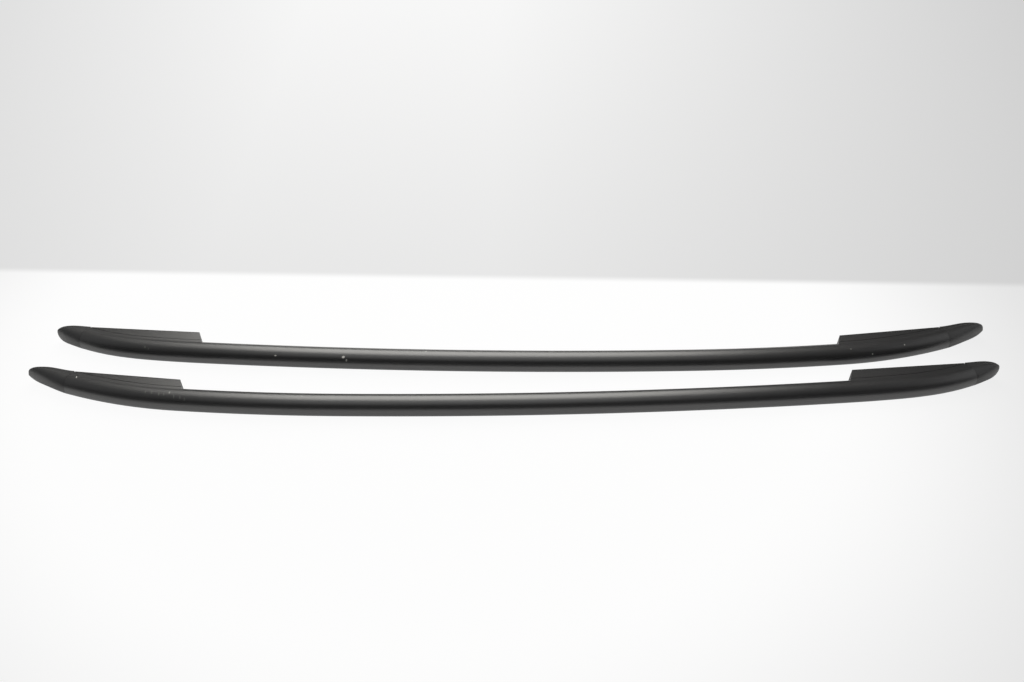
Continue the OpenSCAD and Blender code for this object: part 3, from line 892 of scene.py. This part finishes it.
# Name, size, place, aim, watts and tint of each soft box
LAMPS = (
    ("soft_box", (1.85, 1.9), (-0.19, 0.98, 1.49), (-0.19, 0, 0), 42, WARM),
    ("overhead_fill", (2.0, 1.5), (-0.17, -0.55, 1.8), (-0.17, 0, 0), 6, WHITE),
    ("left_fill", (2.0, 1.8), (-2.3, 0.1, 1.0), (0, 0, 0), 3.0, WHITE),
    ("right_fill", (2.0, 1.8), (2.3, 0.1, 1.0), (0, 0, 0), 5.5, WHITE),
)


def painted_floor_light(tree):
    """Painted light and shade on the pale floor: a painted pool of light round the rails, and
    behind them a step down to a painted backdrop, painted lighter away from the line and darker
    towards both sides.
    """
    place = add(tree, "TexCoord").outputs["Object"]
    spread = add(tree, "VectorMath", {0: place, 1: PAINTED_POOL, 2: PAINTED_POOL_SHIFT}, operation="MULTIPLY_ADD")
    away = add(tree, "VectorMath", {0: spread.outputs["Vector"]}, operation="LENGTH")
    # Painted pool of light: brightest in the oval round the rails
    front = add(tree, "MapRange", {
        "Value": away.outputs["Value"], "From Min": PAINTED_POOL_FADE[0], "From Max": PAINTED_POOL_FADE[1],
        "To Min": PAINTED_POOL_TONES[0], "To Max": PAINTED_POOL_TONES[1]}, interpolation_type="SMOOTHSTEP")
    back = add(tree, "VectorMath", {0: place, 1: (LINE_SLOPE, 1, 0)}, operation="DOT_PRODUCT")
    # Painted light on the backdrop: brighter away from the line
    painted_backdrop_rise = add(tree, "MapRange", {
        "Value": back.outputs["Value"], "From Min": LINE_AWAY, "From Max": BACKDROP_LIGHT_END,
        "To Min": BACKDROP_LIGHT_TONES[0], "To Max": BACKDROP_LIGHT_TONES[1]})
    shifted = add(tree, "VectorMath", {0: place, 1: (1, 0, 0), 2: BACKDROP_SHADE_SHIFT},
                  operation="MULTIPLY_ADD")
    aside = add(tree, "VectorMath", {0: shifted.outputs["Vector"]}, operation="LENGTH")
    # Painted shade on the backdrop: darker towards both sides
    wide = add(tree, "MapRange", {
        "Value": aside.outputs["Value"], "From Min": BACKDROP_SHADE_FADE[0], "From Max": BACKDROP_SHADE_FADE[1],
        "To Min": BACKDROP_SHADE_TONES[0], "To Max": BACKDROP_SHADE_TONES[1]})
    wall = add(tree, "Math", {0: painted_backdrop_rise.outputs["Result"], 1: wide.outputs["Result"]},
               operation="MULTIPLY")
    behind = add(tree, "MapRange", {
        "Value": back.outputs["Value"], "From Min": LINE_AWAY - LINE_SOFT,
        "From Max": LINE_AWAY + LINE_SOFT}, interpolation_type="SMOOTHSTEP")
    # Painted pool of light in front of the line, the backdrop's painted light and shade behind it
    tone = add(tree, "Mix", {"Factor": behind.outputs["Result"], "A": front.outputs["Result"],
                             "B": wall.outputs[0]}, data_type="FLOAT")
    return tone.outputs["Result"]


def add_floor():
    """A large pale floor of matt paper, whose glow carries the painted light and shade of floor and
    backdrop. The camera sees most of that glow as set, with a faint shadow under the rails."""
    bm = bmesh.new()
    bmesh.ops.create_circle(bm, cap_ends=True, segments=96, radius=FLOOR_RADIUS)
    floor = bpy.data.objects.new("floor", to_mesh(bm, "floor"))
    bm.free()
    bpy.context.scene.collection.objects.link(floor)
    material = bpy.data.materials.new("matt_paper_sweep")
    material.use_nodes = True
    tree = material.node_tree
    tree.nodes.clear()
    base = tuple(settings("rail_finish").floor) + (1,)
    matt = add(tree, "BsdfDiffuse", {"Color": base})
    # The glow's strength is the painted light and shade of floor and backdrop
    glow = add(tree, "Emission", {"Color": WHITE + (1,), "Strength": painted_floor_light(tree)})
    rays = add(tree, "LightPath").outputs
    gloss = add(tree, "Math", {0: rays["Is Glossy Ray"], 1: GLOSSY_SHARE}, operation="MULTIPLY")
    part = add(tree, "Math", {0: rays["Is Camera Ray"], 1: CAMERA_SHARE, 2: gloss.outputs[0]},
               operation="MULTIPLY_ADD")
    both = add(tree, "MixShader", {0: part.outputs[0], 1: matt.outputs[0], 2: glow.outputs[0]})
    add(tree, "OutputMaterial", {"Surface": both.outputs[0]})
    floor.data.materials.append(material)


def add_lamps():
    """A broad soft box over and behind the rails, and weak ones overhead and at both sides."""
    for name, size, place, aim, watts, tint in LAMPS:
        lamp = bpy.data.lights.new(name, "AREA")
        lamp.shape = "RECTANGLE"
        lamp.size, lamp.size_y = size
        lamp.energy = watts
        lamp.color = tint
        box = bpy.data.objects.new(name, lamp)
        box.location = place
        box.rotation_euler = (Vector(aim) - box.location).to_track_quat("-Z", "Y").to_euler()
        bpy.context.scene.collection.objects.link(box)


def add_surround():
    """A surround that is dim for the rails and pale for the camera."""
    world = bpy.data.worlds.new("surround")
    world.use_nodes = True
    tree = world.node_tree
    tree.nodes.clear()
    rays = add(tree, "LightPath").outputs
    seen = add(tree, "MapRange", {"Value": rays["Is Camera Ray"], "To Min": SURROUND_DIM,
                                  "To Max": SURROUND_PALE})
    pale = add(tree, "Background", {"Color": WHITE + (1,), "Strength": seen.outputs["Result"]})
    add(tree, "OutputWorld", {"Surface": pale.outputs[0]})
    bpy.context.scene.world = world


def add_camera():
    """The photograph's view: from the tubes' side, well above, through a lens of 32 mm."""
    camera = bpy.data.cameras.new("camera")
    camera.sensor_width = SENSOR_WIDTH
    camera.lens = FOCAL_PIXELS / PHOTO_WIDTH * camera.sensor_width
    view = bpy.data.objects.new("camera", camera)
    view.location = CAMERA_PLACE
    view.rotation_euler = (math.radians(90 - CAMERA_DOWN), 0, math.radians(CAMERA_ASIDE))
    bpy.context.scene.collection.objects.link(view)
    bpy.context.scene.camera = view
    bpy.context.scene.view_settings.view_transform = "Standard"


class RAILS_PT_panel(bpy.types.Panel):
    """The rails' tools and sizes"""

    bl_idname = "RAILS_PT_panel"
    bl_label = "Roof side rails"
    bl_space_type = "VIEW_3D"
    bl_region_type = "UI"
    bl_category = "Rails"

    def draw(self, context):
        for operator in OPERATORS:
            self.layout.operator(operator.bl_idname)
        for name, group in SETTINGS.items():
            box = self.layout.box()
            for key in group.__annotations__:
                box.prop(getattr(context.scene, name), key)


OPERATORS = (RAILS_OT_stage, RAILS_OT_profiles, RAILS_OT_caps, RAILS_OT_fittings)


def register():
    for cls in (*SETTINGS.values(), *OPERATORS, RAILS_PT_panel):
        bpy.utils.register_class(cls)
    for name, group in SETTINGS.items():
        setattr(bpy.types.Scene, name, bpy.props.PointerProperty(type=group))


def unregister():
    for name in SETTINGS:
        delattr(bpy.types.Scene, name)
    for cls in (RAILS_PT_panel, *reversed(OPERATORS), *reversed(list(SETTINGS.values()))):
        bpy.utils.unregister_class(cls)


def main():
    """Dress the whole CAD model."""
    register()
    bpy.ops.rails.stage()
    bpy.ops.rails.profiles()
    bpy.ops.rails.caps()
    bpy.ops.rails.fittings()


if __name__ == "__main__":
    main()
